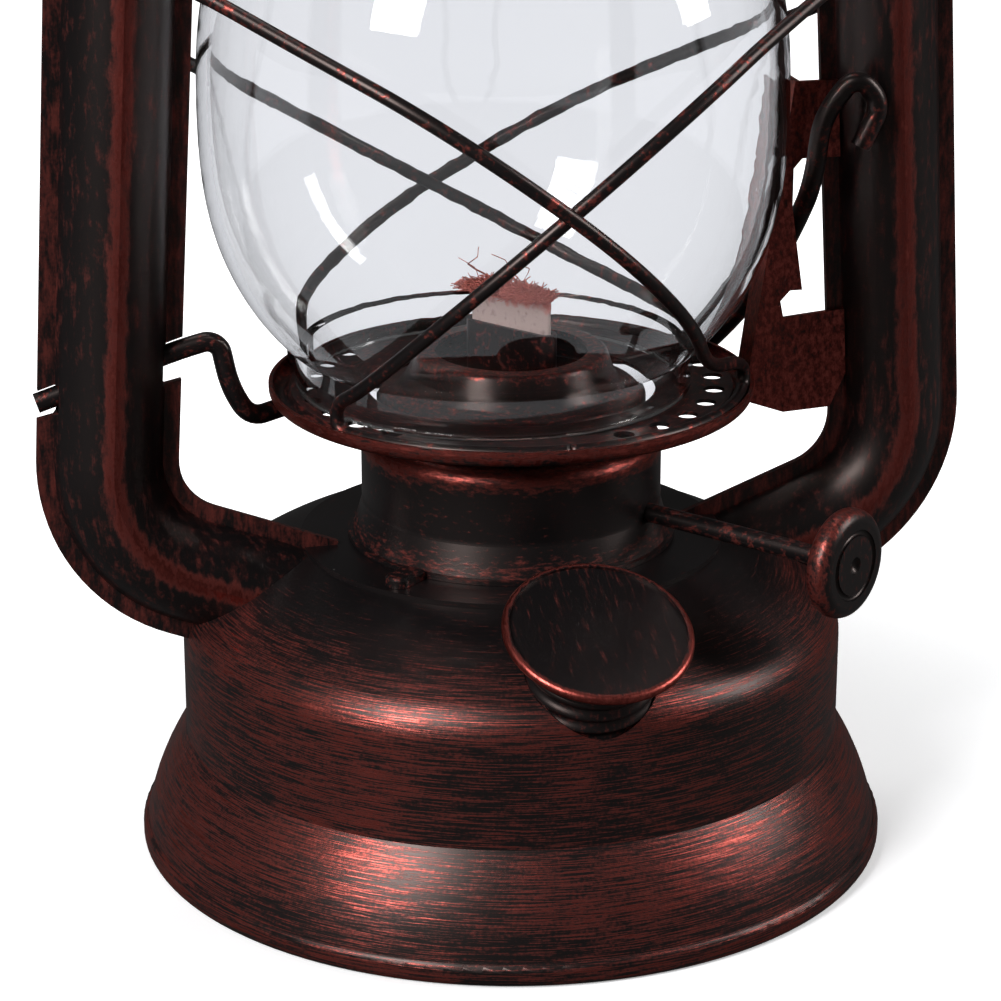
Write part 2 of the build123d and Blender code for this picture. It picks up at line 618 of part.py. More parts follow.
def tube_section(depth_side):
    """Section of one stamped half, with a flat flange at each edge, on the depth_side of the seam."""
    root = TUBE_HALF_WIDTH - TUBE_FLANGE
    outline = tube_half_section(0) + tube_half_section(THIN_SHEET)
    for edge in (-1, 1):
        outline.append(
            Polyline(
                (edge * root, THIN_SHEET),
                (edge * TUBE_HALF_WIDTH, THIN_SHEET),
                (edge * TUBE_HALF_WIDTH, 0),
                (edge * (root - THIN_SHEET), 0),
            )
        )
    face = make_face([edge for line in outline for edge in line.edges()])
    return face if depth_side > 0 else mirror(face, Plane.XZ)


def lever_passage():
    """Room for the lever's wire where it goes through the seams of the left tube."""
    half = LEVER_WIRE_RADIUS + SLOT_GAP
    outer, inner = LEVER_ROUTE[0], LEVER_ROUTE[1]
    along = (inner - outer).normalized() * (2 * half)
    near, far = outer - along, inner + along
    drop = (far.X - LEVER_PIVOT[0]) * tan(radians(LEVER_SWING))
    tall = half / cos(atan2(along.Z, along.X))
    wedge = Polyline(
        (near.X, near.Z - tall),
        (far.X, far.Z - drop - tall),
        (far.X, far.Z + tall),
        (near.X, near.Z + tall),
        close=True,
    )
    return Pos(0, half, 0) * extrude(Plane.XZ * make_face(wedge.edges()), 2 * half)


def make_tube_half(side, depth_side, envelope):
    path = tube_path(side)
    start = Plane(origin=path @ 0, x_dir=(path % 0).cross(Vector(0, 1, 0)), z_dir=path % 0)
    facing = depth_side if start.y_dir.Y > 0 else -depth_side
    half = sweep(start * tube_section(facing), path=path)
    half -= envelope
    half -= Cylinder(CROWN_RADIUS + SEAT_GAP, 2 * OVERALL_HEIGHT)
    if side < 0:
        half -= lever_passage()
    return half


# Lift lever and bracket

LEVER_UNDER = PLATE_DECK - GUARD_WIRE_RADIUS - GUTTER_GAP - THIN_SHEET - SEAT_GAP - LEVER_WIRE_RADIUS
LEVER_ROUTE = [
    Vector(-TUBE_RADIAL - LEVER_NUB, 0, LEVER_PIVOT[1] - 0.6),
    Vector(-TUBE_RADIAL + 13.5, 0, PLATE_DECK + 9.3),
    Vector(-TUBE_RADIAL + 19.1, 0, PLATE_DECK + 10.6),
    Vector(-TUBE_RADIAL + 20.7, 0, PLATE_DECK + 2.4),
    Vector(-GUTTER_RADIUS - 5.3, 2.0, LEVER_UNDER),
    Vector(-COLLAR_RADIUS - LEVER_CLEAR, 13.0, LEVER_UNDER),
    Vector(-12.0, COLLAR_RADIUS + LEVER_CLEAR + 0.2, LEVER_UNDER),
    Vector(14.0, COLLAR_RADIUS + LEVER_CLEAR + 1.2, LEVER_UNDER),
    Vector(GUTTER_RADIUS - 0.7, 18.6, LEVER_UNDER),
    Vector(GUTTER_RADIUS + 5.3, 13.6, PLATE_DECK + 4.8),
    Vector(TUBE_RADIAL - 20.1, 8.4, PLATE_DECK + 13.4),
    Vector(TUBE_RADIAL - 18.0, 3.0, PLATE_DECK + 22.4),
    Vector(TUBE_RADIAL - 18.2, -5.6, PLATE_DECK + 31.0),
    Vector(TUBE_RADIAL - 17.8, -8.2, PLATE_DECK + 42.9),
    Vector(TUBE_RADIAL - 13.1, -10.0, PLATE_DECK + 49.8),
    Vector(TUBE_RADIAL - 8.7, -10.6, PLATE_DECK + 45.2),
    Vector(TUBE_RADIAL - 12.1, -10.4, PLATE_DECK + 38.2),
]


def make_lift_lever():
    return wire(smooth_route(LEVER_ROUTE), LEVER_WIRE_RADIUS)


def bracket_edge(height):
    """X of the bracket's right edge: the root of the right tube's inner flange."""
    return tube_x(height) - TUBE_HALF_WIDTH + TUBE_FLANGE - SEAT_GAP


def make_lever_bracket():
    """Latch plate on the front of the flange: tab, slot with a side notch, lower plate, bent-back edge."""
    top, tab_foot = PLATE_DECK + 47.2, PLATE_DECK + 34.6
    notch_top, notch_foot = PLATE_DECK + 12.6, PLATE_DECK + 8.0
    plate_foot = PLATE_DECK - 8.2
    left_top, left_foot = TUBE_RADIAL - 19.3, TUBE_RADIAL - 26.3
    outline = Polyline(
        (left_top, top),
        (bracket_edge(top), top),
        (bracket_edge(tab_foot), tab_foot),
        (TUBE_RADIAL - 18.7, tab_foot),
        (TUBE_RADIAL - 20.1, tab_foot - 1.6),
        (TUBE_RADIAL - 20.1, tab_foot - 8.2),
        (TUBE_RADIAL - 18.0, notch_top),
        (TUBE_RADIAL - 20.1, notch_top),
        (TUBE_RADIAL - 21.7, (notch_top + notch_foot) / 2 + 0.6),
        (TUBE_RADIAL - 21.1, notch_foot),
        (bracket_edge(notch_foot), notch_foot + 0.9),
        (bracket_edge(plate_foot + 6), plate_foot + 6),
        (bracket_edge(plate_foot) - 3, plate_foot + 0.4),
        (TUBE_RADIAL - 20.7, plate_foot),
        (left_foot, plate_foot + 2),
        (left_foot, plate_foot + 4),
        close=True,
    )
    front = -THIN_SHEET - SEAT_GAP
    plate = Pos(0, front, 0) * extrude(Plane.XZ * make_face(outline.edges()), BRACKET_SHEET)
    lean = Vector(left_top - left_foot, 0, top - plate_foot - 4)
    fold = Plane(origin=(left_foot, front - BRACKET_SHEET, plate_foot + 4), x_dir=(0, 1, 0), z_dir=lean)
    strip = Rectangle(BRACKET_RETURN, BRACKET_SHEET, align=(Align.MIN, Align.MIN))
    return plate + extrude(fold * strip, lean.length)


# Crown, globe cap, hood, lift loop and bail

def make_crown():
    """Hollow drum between the tubes, with a window to each tube and a way through for the sleeve."""
    bore = SLEEVE_RADIUS + SLIDE_GAP
    line = FilletPolyline(
        (bore, CROWN_BOTTOM),
        (CROWN_RADIUS, CROWN_BOTTOM),
        (CROWN_RADIUS, CROWN_TOP),
        (bore, CROWN_TOP),
        radius=CROWN_ROUND,
    )
    drum = lathe(sheet(line.edges(), THIN_SHEET))
    window = 2 * (TUBE_HALF_WIDTH - TUBE_FLANGE - CROWN_ROUND)
    return drum - Pos(0, 0, TUBE_TOP_HEIGHT) * Box(4 * CROWN_RADIUS, TUBE_DEPTH, window)


def make_globe_cap():
    """Skirt, seat on the globe, bell and the sleeve that slides in the crown."""
    top = CAP_SEAT + THIN_SHEET
    bell_foot = CAP_SEAT_INNER - 1.5
    line = FilletPolyline(
        (CAP_SKIRT_RADIUS, CAP_SEAT - CAP_SKIRT_DROP),
        (CAP_SKIRT_RADIUS, top),
        (CAP_SEAT_INNER, top),
        (bell_foot, top + CAP_BELL_HEIGHT / 2),
        (SLEEVE_RADIUS, top + CAP_BELL_HEIGHT),
        (SLEEVE_RADIUS, SLEEVE_TOP),
        radius=[2.0, 2.0, 5.0, 3.0],
    )
    cap = lathe(sheet(line.edges(), THIN_SHEET))
    vent_place = (Align.MIN, Align.CENTER, Align.MAX)
    vent = Box(SLEEVE_RADIUS, SLEEVE_VENT_WIDTH, SLEEVE_VENT_HEIGHT, align=vent_place)
    for index in range(SLEEVE_VENTS):
        turn = 360 * (index + 0.5) / SLEEVE_VENTS
        cap -= Rot(0, 0, turn) * Pos(SLEEVE_RADIUS / 2, 0, SLEEVE_TOP - SLEEVE_VENT_DROP) * vent
    return cap


def make_hood():
    """Rain cap with a flat seat on the sleeve and a small peak."""
    seat = HOOD_SEAT + THIN_SHEET
    line = FilletPolyline(
        (HOOD_RADIUS, seat - HOOD_EAVE_DROP),
        (HOOD_RADIUS - 1.5, seat - 0.7 * HOOD_EAVE_DROP),
        (SLEEVE_RADIUS + HOOD_SEAT_WIDTH, seat),
        (SLEEVE_RADIUS - HOOD_SEAT_WIDTH, seat),
        (LOOP_WIDTH / 2 - 3.0, seat + HOOD_PEAK),
        (0, seat + HOOD_PEAK),
        radius=[1.0, 2.0, 1.0, 2.0],
    )
    return lathe(sheet(line.edges(), THIN_SHEET))


def make_lift_loop(hood):
    """Wire hoop that stands on the hood."""
    half = LOOP_WIDTH / 2
    crest = OVERALL_HEIGHT - LOOP_WIRE_RADIUS
    foot = HOOD_SEAT
    corners = ((-half, 0, foot), (-half, 0, crest), (half, 0, crest), (half, 0, foot))
    path = FilletPolyline(*corners, radius=half - 0.5)
    hoop = wire(path, LOOP_WIRE_RADIUS)
    under_hood = Cylinder(2 * HOOD_RADIUS, 2 * HOOD_SEAT) + hood
    pieces = (hoop - under_hood).solids()
    return max(pieces, key=lambda piece: piece.volume)


def ear_pivot():
    """Height of the bail's pivot above the outer edge of the tube's upper bend."""
    middle_x = tube_x(TUBE_TOP_HEIGHT) - TUBE_TOP_BEND
    outer = TUBE_TOP_BEND + TUBE_HALF_WIDTH
    return TUBE_TOP_HEIGHT - TUBE_TOP_BEND + sqrt(outer ** 2 - (EAR_X - middle_x) ** 2) + EAR_RISE


def make_bail_ear(side, halves):
    """Tab across the tube's upper bend, with the bail's eye."""
    pivot = ear_pivot()
    width = 2 * EAR_RADIUS
    tab = Circle(EAR_RADIUS) + Pos(0, -EAR_RISE) * Rectangle(width, 2 * EAR_RISE)
    tab -= Circle(BAIL_WIRE_RADIUS + RUN_GAP)
    face = Plane(origin=(side * EAR_X - EAR_SHEET / 2, 0, pivot), x_dir=(0, 1, 0), z_dir=(1, 0, 0))
    ear = extrude(face * tab, EAR_SHEET)
    for half in halves:
        ear -= half
    return max(ear.solids(), key=lambda piece: piece.center().Z)


def make_bail():
    """U of round wire whose bent ends go through the ears, hanging behind the lamp."""
    pivot = ear_pivot()
    inner_end = EAR_X - EAR_SHEET / 2 - 2.0
    straight = BAIL_LENGTH - BAIL_SPAN
    route = [
        (-inner_end, 0),
        (-BAIL_SPAN, 0),
        (-BAIL_SPAN, -straight - BAIL_SPAN),
        (BAIL_SPAN, -straight - BAIL_SPAN),
        (BAIL_SPAN, 0),
        (inner_end, 0),
    ]
    hang = radians(BAIL_HANG)
    plane = Plane(origin=(0, 0, pivot), x_dir=(1, 0, 0), z_dir=(0, -cos(hang), -sin(hang)))
    turn = BAIL_SPAN - 0.5
    path = FilletPolyline(*[plane.from_local_coords(Vector(x, y, 0)) for x, y in route],
                          radius=[BAIL_BEND - 0.5, turn, turn, BAIL_BEND - 0.5])
    return wire(path, BAIL_WIRE_RADIUS)


def build():
    """Every node of the lamp, by name."""
    envelope = tank_envelope()
    nodes = {
        "fuel_tank": make_tank(),
        "tank_bottom": make_tank_bottom(),
        "filler_neck": make_filler_neck(),
        "filler_gasket": make_filler_gasket(),
        "filler_cap": make_filler_cap(),
        "burner_base_plate": make_burner_base_plate(),
        "burner_collar": make_burner_collar(),
        "burner_catch": make_burner_catch(),
        "burner_dome": make_burner_dome(),
        "wick_tube": make_wick_tube(),
        "wick": make_wick(),
        "wick_shaft": make_wick_shaft(),
        "wick_wheels": make_wick_wheels(),
        "wick_knob": make_wick_knob(),
        "globe_plate": make_globe_plate(),
        "globe": make_globe(),
        "guard_wire": make_guard_wire(),
        "lift_lever": make_lift_lever(),
        "lever_bracket": make_lever_bracket(),
        "crown": make_crown(),
        "globe_cap": make_globe_cap(),
        "hood": make_hood(),
        "bail": make_bail(),
    }
    nodes["lift_loop"] = make_lift_loop(nodes["hood"])
    for side, name in ((-1, "left"), (1, "right")):
        halves = []
        for depth_side, face in ((-1, "front"), (1, "back")):
            half = make_tube_half(side, depth_side, envelope)
            nodes[f"{name}_tube_{face}"] = half
            halves.append(half)
        nodes[f"{name}_bail_ear"] = make_bail_ear(side, halves)
    return nodes


for node, shape in build().items():
    export_step(shape, f"parts/{node}.step")
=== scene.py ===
"""Oil lantern in black paint dry-brushed with red copper, seen from the front left and a little above."""
import json
import math

import bpy
import numpy as np
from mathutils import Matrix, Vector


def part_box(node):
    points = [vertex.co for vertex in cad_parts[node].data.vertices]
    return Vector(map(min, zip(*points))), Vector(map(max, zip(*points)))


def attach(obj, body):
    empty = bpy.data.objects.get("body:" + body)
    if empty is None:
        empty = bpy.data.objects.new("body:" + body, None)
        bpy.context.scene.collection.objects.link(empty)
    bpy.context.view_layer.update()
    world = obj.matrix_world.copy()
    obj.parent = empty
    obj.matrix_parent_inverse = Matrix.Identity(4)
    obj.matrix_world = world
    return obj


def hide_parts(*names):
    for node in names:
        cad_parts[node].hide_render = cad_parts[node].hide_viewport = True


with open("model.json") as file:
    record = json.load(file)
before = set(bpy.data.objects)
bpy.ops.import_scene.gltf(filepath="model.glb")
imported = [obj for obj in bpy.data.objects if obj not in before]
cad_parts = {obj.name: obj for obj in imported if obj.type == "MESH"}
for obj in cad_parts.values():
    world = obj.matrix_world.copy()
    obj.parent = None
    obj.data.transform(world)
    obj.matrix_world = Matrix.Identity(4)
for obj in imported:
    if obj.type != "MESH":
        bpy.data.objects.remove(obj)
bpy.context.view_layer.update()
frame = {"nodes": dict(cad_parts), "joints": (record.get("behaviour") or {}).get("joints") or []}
joints = {joint["name"]: joint for joint in frame["joints"]}

# The photograph's view, in metres and degrees, with the lamp's axis on Z
VIEW_PLACE = (-0.11882, -0.48157, 0.22992)
VIEW_TURN = -13.66
VIEW_DROP = 19.21
VIEW_LENS, VIEW_SENSOR = 114.955, 36.0      # millimetres

# Light
WORLD_LIGHT = 0.05
KEY_POWER, KEY_PLACE, KEY_SIZE = 14.0, (-0.72, -0.56, 0.66), (0.36, 0.60)
FILL_POWER, FILL_PLACE, FILL_SIZE = 6.0, (0.88, -0.28, 0.56), (0.24, 0.60)
TOP_POWER, TOP_PLACE, TOP_SIZE = 3.0, (0.0, 0.30, 1.00), (0.5, 0.5)
LIGHT_AIM = (0.0, 0.0, 0.08)

# Colours, linear
BLACK_PAINT = (0.0040, 0.0036, 0.0040)
RED_COPPER = (0.22, 0.025, 0.020)
PINK_COPPER = (0.64, 0.150, 0.120)
WARM_SHEEN = (1.0, 0.78, 0.72)
COTTON = (0.56, 0.43, 0.40)
COTTON_RED = (0.56, 0.16, 0.13)
COTTON_DARK = (0.16, 0.05, 0.045)
RUBBER = (0.012, 0.012, 0.013)
FLOOR = (0.86, 0.86, 0.87)
FLOOR_GLOW = (0.34, 0.95)          # beside the lamp, where its shadow falls, and away from it
GLOW_REACH = (0.07, 0.22)          # distances from the axis between which the floor brightens
WHITE = (1.0, 1.0, 1.0)
FLOOR_REFLECTED = (0.06, 0.06, 0.06)
SEEN_THROUGH_GLASS = (0.776, 0.791, 0.838)


# The paint, the copper over it, and how patches and flecks add to the brush's streaks
PAINT_ROUGHNESS, PAINT_SPECULAR = 0.34, 0.44
COPPER_ROUGHNESS = 0.36
COPPER_SHINE = 1.8                 # metal for each share of copper, so that thin copper is metal too
RELIEF_STRENGTH, RELIEF_DEPTH = 0.12, 0.0003
PATCH_SHARE, FLECK_SHARE = 0.30, 0.24
BARE_LEVEL = 1.27                  # sum of streaks, patches and flecks that stays bare at no coverage


# Shader tools

def add(nodes, kind, **values):
    """A shader node with its properties and input values set."""
    node = nodes.new(kind)
    for name, value in values.pop("inputs", {}).items():
        node.inputs[name].default_value = value
    for name, value in values.items():
        setattr(node, name, value)
    return node


def mixed(nodes, link, factor, first, second):
    """Socket of a colour between two others, each a linear colour or a socket."""
    node = add(nodes, "ShaderNodeMix", data_type="RGBA")
    link(factor, node.inputs[0])
    for socket, colour in ((node.inputs[6], first), (node.inputs[7], second)):
        if isinstance(colour, tuple):
            socket.default_value = (*colour, 1)
        else:
            link(colour, socket)
    return node.outputs[2]


def new_group(name, inputs, outputs):
    """An empty shader group with named sockets, and its entry and exit nodes."""
    group = bpy.data.node_groups.new(name, "ShaderNodeTree")
    for socket, kind, value in inputs:
        entry = group.interface.new_socket(socket, in_out="INPUT", socket_type=kind)
        if value is not None:
            entry.default_value = value
    for socket, kind in outputs:
        group.interface.new_socket(socket, in_out="OUTPUT", socket_type=kind)
    return group, group.nodes.new("NodeGroupInput"), group.nodes.new("NodeGroupOutput")


def turned_grain_group():
    """Grain that runs round an axis: (x, y) is brought to the unit circle, and z - radius is stretched."""
    group, entry, leave = new_group(
        "turned_grain",
        [
            ("Place", "NodeSocketVector", None),
            ("Round", "NodeSocketFloat", 3.0),
            ("Up", "NodeSocketFloat", 900.0),
        ],
        [("Grain", "NodeSocketVector")],
    )
    nodes, link = group.nodes, group.links.new
    flat = add(nodes, "ShaderNodeVectorMath", operation="MULTIPLY")
    flat.inputs[1].default_value = (1, 1, 0)
    unit = add(nodes, "ShaderNodeVectorMath", operation="NORMALIZE")
    around = add(nodes, "ShaderNodeVectorMath", operation="SCALE")
    split = add(nodes, "ShaderNodeSeparateXYZ")
    radius = add(nodes, "ShaderNodeVectorMath", operation="LENGTH")
    slant = add(nodes, "ShaderNodeMath", operation="SUBTRACT")
    height = add(nodes, "ShaderNodeMath", operation="MULTIPLY")
    upright = add(nodes, "ShaderNodeCombineXYZ")
    total = add(nodes, "ShaderNodeVectorMath", operation="ADD")
    link(entry.outputs["Place"], flat.inputs[0])
    link(flat.outputs[0], unit.inputs[0])
    link(unit.outputs[0], around.inputs[0])
    link(entry.outputs["Round"], around.inputs["Scale"])
    link(entry.outputs["Place"], split.inputs[0])
    link(flat.outputs[0], radius.inputs[0])
    link(split.outputs["Z"], slant.inputs[0])
    link(radius.outputs["Value"], slant.inputs[1])
    link(slant.outputs[0], height.inputs[0])
    link(entry.outputs["Up"], height.inputs[1])
    link(height.outputs[0], upright.inputs["Z"])
    link(around.outputs[0], total.inputs[0])
    link(upright.outputs[0], total.inputs[1])
    link(total.outputs[0], leave.inputs["Grain"])
    return group


def dry_brush_group():
    """Copper left by a nearly dry brush: streaks, patches and flecks, kept where their sum passes a level."""
    group, entry, leave = new_group(
        "dry_brush",
        [
            ("Grain", "NodeSocketVector", None),
            ("Place", "NodeSocketVector", None),
            ("Coverage", "NodeSocketFloat", 0.4),
            ("Softness", "NodeSocketFloat", 0.16),
        ],
        [("Copper", "NodeSocketFloat"), ("Streak", "NodeSocketFloat")],
    )
    nodes, link = group.nodes, group.links.new
    streak = add(nodes, "ShaderNodeTexNoise", inputs={"Scale": 1.0, "Detail": 5.0, "Roughness": 0.62})
    patch = add(nodes, "ShaderNodeTexNoise", inputs={"Scale": 38.0, "Detail": 3.0, "Roughness": 0.5})
    fleck = add(nodes, "ShaderNodeTexNoise", inputs={"Scale": 1900.0, "Detail": 2.0})
    mix = add(nodes, "ShaderNodeMath", operation="MULTIPLY_ADD")
    mix.inputs[1].default_value = PATCH_SHARE
    speck = add(nodes, "ShaderNodeMath", operation="MULTIPLY_ADD")
    speck.inputs[1].default_value = FLECK_SHARE
    level = add(nodes, "ShaderNodeMath", operation="SUBTRACT")
    level.inputs[0].default_value = BARE_LEVEL
    low = add(nodes, "ShaderNodeMath", operation="SUBTRACT")
    high = add(nodes, "ShaderNodeMath", operation="ADD")
    keep = add(nodes, "ShaderNodeMapRange", interpolation_type="SMOOTHSTEP")
    link(entry.outputs["Grain"], streak.inputs["Vector"])
    link(entry.outputs["Place"], patch.inputs["Vector"])
    link(entry.outputs["Place"], fleck.inputs["Vector"])
    link(patch.outputs["Fac"], mix.inputs[0])
    link(streak.outputs["Fac"], mix.inputs[2])
    link(fleck.outputs["Fac"], speck.inputs[0])
    link(mix.outputs[0], speck.inputs[2])
    link(entry.outputs["Coverage"], level.inputs[1])
    link(level.outputs[0], low.inputs[0])
    link(entry.outputs["Softness"], low.inputs[1])
    link(level.outputs[0], high.inputs[0])
    link(entry.outputs["Softness"], high.inputs[1])
    link(speck.outputs[0], keep.inputs["Value"])
    link(low.outputs[0], keep.inputs["From Min"])
    link(high.outputs[0], keep.inputs["From Max"])
    link(keep.outputs[0], leave.inputs["Copper"])
    link(streak.outputs["Fac"], leave.inputs["Streak"])
    return group


def rubbed_and_highlight_band_group():
    """More copper on a band, as rubbed wear on a raised edge and as a painted highlight: full at its middle,
    and fading over its half width.
    """
    group, entry, leave = new_group(
        "rubbed_and_highlight_band",
        [
            ("Value", "NodeSocketFloat", 0.0),
            ("Middle", "NodeSocketFloat", 0.0),
            ("Half width", "NodeSocketFloat", 0.002),
            ("Gain", "NodeSocketFloat", 0.4),
            ("Coverage", "NodeSocketFloat", 0.0),
        ],
        [("Coverage", "NodeSocketFloat")],
    )
    nodes, link = group.nodes, group.links.new
    away = add(nodes, "ShaderNodeMath", operation="SUBTRACT")
    size = add(nodes, "ShaderNodeMath", operation="ABSOLUTE")
    fade = add(nodes, "ShaderNodeMapRange", interpolation_type="SMOOTHSTEP")
    fade.inputs["To Min"].default_value, fade.inputs["To Max"].default_value = 1.0, 0.0
    total = add(nodes, "ShaderNodeMath", operation="MULTIPLY_ADD")
    link(entry.outputs["Value"], away.inputs[0])
    link(entry.outputs["Middle"], away.inputs[1])
    link(away.outputs[0], size.inputs[0])
    link(size.outputs[0], fade.inputs["Value"])
    link(entry.outputs["Half width"], fade.inputs["From Max"])
    link(fade.outputs[0], total.inputs[0])
    link(entry.outputs["Gain"], total.inputs[1])
    link(entry.outputs["Coverage"], total.inputs[2])
    link(total.outputs[0], leave.inputs["Coverage"])
    return group


TURNED_GRAIN = turned_grain_group()
DRY_BRUSH = dry_brush_group()
RUBBED_AND_HIGHLIGHT_BAND = rubbed_and_highlight_band_group()


def place_group(nodes, group, **inputs):
    """A placed shader group with its input values set; an underscore stands for a space in a name."""
    node = add(nodes, "ShaderNodeGroup", node_tree=group)
    for name, value in inputs.items():
        node.inputs[name.replace("_", " ")].default_value = value
    return node


def plain_material(name, color, roughness, metallic=0.0):
    """A Principled material and its shader."""
    material = bpy.data.materials.new(name)
    material.use_nodes = True
    shader = material.node_tree.nodes["Principled BSDF"]
    shader.inputs["Base Color"].default_value = (*color, 1)
    shader.inputs["Roughness"].default_value = roughness
    shader.inputs["Metallic"].default_value = metallic
    return material, shader


def measures(nodes, link, place):
    """Sockets that a band is measured by: height, distance from the axis, and depth from the seam plane."""
    split = add(nodes, "ShaderNodeSeparateXYZ")
    link(place, split.inputs[0])
    flat = add(nodes, "ShaderNodeVectorMath", operation="MULTIPLY")
    flat.inputs[1].default_value = (1, 1, 0)
    radius = add(nodes, "ShaderNodeVectorMath", operation="LENGTH")
    depth = add(nodes, "ShaderNodeMath", operation="ABSOLUTE")
    link(place, flat.inputs[0])
    link(flat.outputs[0], radius.inputs[0])
    link(split.outputs["Y"], depth.inputs[0])
    return {"height": split.outputs["Z"], "radius": radius.outputs["Value"], "depth": depth.outputs[0]}


def brushed_copper(name, coverage, bands=(), turned=True, grain=(12.0, 3000.0), turn=None, softness=0.18):
    """Satin black paint with red copper brushed over it.

    bands are (measure, middle, half width, gain) where more or less copper is left. A turned grain runs round
    the axis, and any other is stretched by grain along x, y and z. turn moves and turns the place of a piece
    that has its own axis.
    """
    material, shader = plain_material(name, BLACK_PAINT, PAINT_ROUGHNESS)
    shader.inputs["Specular IOR Level"].default_value = PAINT_SPECULAR
    shader.inputs["Specular Tint"].default_value = (*WARM_SHEEN, 1)
    nodes, link = material.node_tree.nodes, material.node_tree.links.new
    place = add(nodes, "ShaderNodeTexCoord").outputs["Object"]
    if turn:
        mapping = add(nodes, "ShaderNodeMapping", vector_type="TEXTURE")
        mapping.inputs["Location"].default_value, mapping.inputs["Rotation"].default_value = turn
        link(place, mapping.inputs["Vector"])
        place = mapping.outputs[0]
    if turned:
        grained = place_group(nodes, TURNED_GRAIN, Round=grain[0], Up=grain[1])
        link(place, grained.inputs["Place"])
        grain_socket = grained.outputs["Grain"]
    else:
        stretch = add(nodes, "ShaderNodeVectorMath", operation="MULTIPLY")
        stretch.inputs[1].default_value = grain
        link(place, stretch.inputs[0])
        grain_socket = stretch.outputs[0]
    brush = place_group(nodes, DRY_BRUSH, Coverage=coverage, Softness=softness)
    link(grain_socket, brush.inputs["Grain"])
    link(place, brush.inputs["Place"])
    kinds = measures(nodes, link, place)
    last = None
    for measure, middle, half, gain in bands:
        band = place_group(nodes, RUBBED_AND_HIGHLIGHT_BAND, Middle=middle, Half_width=half, Gain=gain, Coverage=coverage)
        link(kinds[measure], band.inputs["Value"])
        if last:
            link(last, band.inputs["Coverage"])
        last = band.outputs["Coverage"]
    if last:
        link(last, brush.inputs["Coverage"])
    copper = mixed(nodes, link, brush.outputs["Streak"], RED_COPPER, PINK_COPPER)
    paint = mixed(nodes, link, brush.outputs["Copper"], BLACK_PAINT, copper)
    link(paint, shader.inputs["Base Color"])
    shine = add(nodes, "ShaderNodeMath", operation="MULTIPLY", use_clamp=True)
    shine.inputs[1].default_value = COPPER_SHINE
    link(brush.outputs["Copper"], shine.inputs[0])
    link(shine.outputs[0], shader.inputs["Metallic"])
    rough = add(nodes, "ShaderNodeMapRange", inputs={"To Min": PAINT_ROUGHNESS, "To Max": COPPER_ROUGHNESS})
    link(brush.outputs["Copper"], rough.inputs["Value"])
    link(rough.outputs[0], shader.inputs["Roughness"])
    relief = add(nodes, "ShaderNodeBump", inputs={"Strength": RELIEF_STRENGTH, "Distance": RELIEF_DEPTH})
    link(brush.outputs["Copper"], relief.inputs["Height"])
    link(relief.outputs[0], shader.inputs["Normal"])
    return material


def top(node):
    """A node's highest corner at rest."""
    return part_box(node)[1]


def foot(node):
    """A node's lowest corner at rest."""
    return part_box(node)[0]


def reach(node):
    """Largest distance of a turned node from its axis."""
    low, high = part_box(node)
    return (high.x - low.x) / 2


# Finishes

DISC_TOP = top("fuel_tank").z
# Heights on the tank and the collar, and radii on the cap and the knob, where the finish changes. The tank's
# two flare bands are painted highlights laid in as extra copper; its shoulder band and the collar's top band
# are both rubbed copper and painted highlights.
SHOULDER, DOME_SHADE = 0.0390, 0.0520
UPPER_HIGHLIGHT_BAND, LOWER_HIGHLIGHT_BAND, FOOT_RIM = 0.0165, 0.0110, 0.0015
COLLAR_BAND, COLLAR_FOOT = 0.0690, DISC_TOP + 0.002
DOME_STEP = foot("burner_dome").z + 0.0075
CAP_RIM, KNOB_RIM, KNOB_HUB = 0.0145, 0.0084, 0.0042

tank_finish = brushed_copper(
    "tank_copper",
    0.35,
    [
        # the shoulder band is rubbed copper on its rounded edge and also a painted highlight; the two flare
        # bands below are painted highlights
        ("height", SHOULDER, 0.0046, 0.06),
        ("height", UPPER_HIGHLIGHT_BAND, 0.0040, 0.06),
        ("height", LOWER_HIGHLIGHT_BAND, 0.0040, 0.06),
        ("height", FOOT_RIM, 0.0030, 0.06),
        ("height", DOME_SHADE, 0.0090, -0.16),
    ],
    grain=(7.0, 4200.0),
)
collar_finish = brushed_copper(
    "collar_copper",
    0.09,
    # the top band is rubbed copper on the collar's rounded edge and also a painted highlight
    [("height", COLLAR_BAND, 0.0040, 0.42), ("height", COLLAR_FOOT, 0.0030, 0.14)],
    grain=(14.0, 1500.0),
    softness=0.34,
)
plate_finish = brushed_copper(
    "plate_copper",
    0.32,
    [("radius", reach("globe_plate"), 0.0022, 0.20)],
    grain=(16.0, 1800.0),
)
dome_finish = brushed_copper(
    "dome_copper",
    0.26,
    [("height", top("burner_dome").z, 0.0022, 0.16), ("height", DOME_STEP, 0.002, 0.12)],
    grain=(14.0, 1200.0),
)
tube_finish = brushed_copper(
    "tube_copper",
    0.06,
    [("depth", top("right_tube_back").y, 0.0007, 0.46), ("depth", 0.0, 0.0016, 0.24)],
    turned=False,
    grain=(900.0, 900.0, 240.0),
    softness=0.45,
)
wire_finish = brushed_copper("wire_copper", 0.30, turned=False, grain=(700.0, 700.0, 700.0))
bracket_finish = brushed_copper(
    "bracket_copper",
    0.56,
    turned=False,
    grain=(1500.0, 1500.0, 900.0),
    softness=0.24,
)
upper_finish = brushed_copper(
    "upper_copper",
    0.38,
    [
        ("height", top("crown").z, 0.0035, 0.14),
        ("height", foot("crown").z, 0.0035, 0.14),
        ("height", foot("globe_cap").z, 0.0025, 0.14),
        ("height", foot("hood").z, 0.003, 0.14),
    ],
    grain=(10.0, 2200.0),
)
small_finish = brushed_copper("small_copper", 0.30, turned=False, grain=(900.0, 900.0, 900.0))


def on_axis(joint):
    """Place and turn that bring a joint's axis to Z: the axis is Z tilted about X, then turned about Z."""
    x, y, z = joints[joint]["axis"]
    tilt = math.atan2(math.hypot(x, y), z)
    return joints[joint]["pos_m"], (tilt, 0.0, math.atan2(x, -y))


